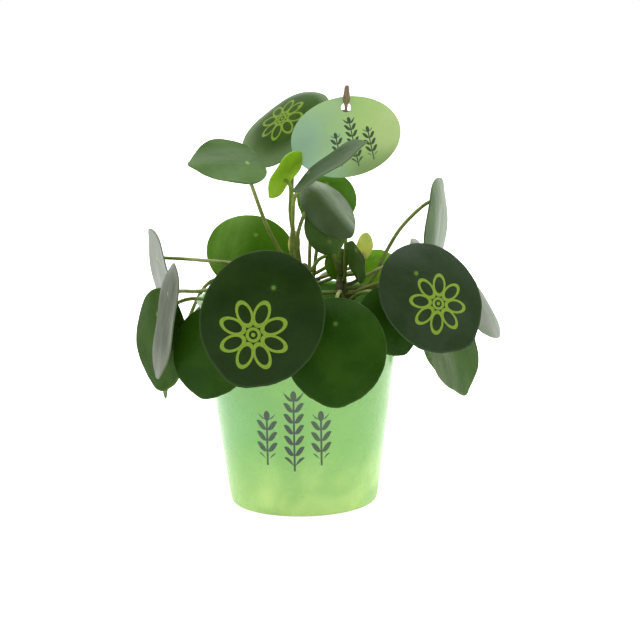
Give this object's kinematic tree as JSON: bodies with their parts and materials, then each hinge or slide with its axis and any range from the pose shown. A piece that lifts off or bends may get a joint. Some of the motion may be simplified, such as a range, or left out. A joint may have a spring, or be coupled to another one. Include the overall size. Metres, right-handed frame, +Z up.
{
  "type": "potted pilea plant",
  "caption": "Pilea plant with round shield-shaped leaves on long stalks, in a tapered round pot, with an oval card on a wooden pick.",
  "frame": {"origin": "middle of the pot's flat base, on the surface that it stands on", "axes": "+Z up, the front of the plant faces -Y, +X to its right when seen from the front"},
  "size_m": [0.2398, 0.2003, 0.2712],
  "materials": {
    "pot_glaze": "gloss",
    "soil": "matte",
    "bark": "matte",
    "grown_leaf": "satin",
    "young_leaf": "satin",
    "card": "satin",
    "pick_wood": "matte"
  },
  "bodies": {
    "root": {"pot": "pot_glaze", "soil": "soil", "stem_main": "bark", "stem_left": "bark", "stem_back": "bark", "leaf_front_large": "grown_leaf", "leaf_front_right": "grown_leaf", "leaf_right_large": "grown_leaf", "leaf_right_low": "grown_leaf", "leaf_right_folded": "grown_leaf", "leaf_right_pale": "grown_leaf", "leaf_right_upright": "grown_leaf", "leaf_right_far": "grown_leaf", "leaf_low_left": "grown_leaf", "leaf_left_broad": "grown_leaf", "leaf_left_silver": "grown_leaf", "leaf_left_high": "grown_leaf", "leaf_left_small": "grown_leaf", "leaf_backlit": "young_leaf", "leaf_high_left": "grown_leaf", "leaf_high_dome": "grown_leaf", "leaf_young_bright": "young_leaf", "leaf_high_front": "grown_leaf", "leaf_high_sheen": "grown_leaf", "leaf_high_back": "young_leaf", "leaf_high_small": "grown_leaf", "leaf_bud_right": "young_leaf", "leaf_behind_right": "young_leaf", "leaf_inner_right": "grown_leaf", "leaf_inner_left": "grown_leaf", "leaf_bud_left": "young_leaf", "leaf_rear_far_right": "grown_leaf", "leaf_rear_right": "grown_leaf", "leaf_rear_middle_right": "grown_leaf", "leaf_rear_middle": "grown_leaf", "leaf_rear_left": "grown_leaf", "leaf_rear_high_left": "grown_leaf", "leaf_rear_high": "grown_leaf", "leaf_rear_top": "grown_leaf", "card": "card", "pick": "pick_wood"}
  },
  "joints": []
}
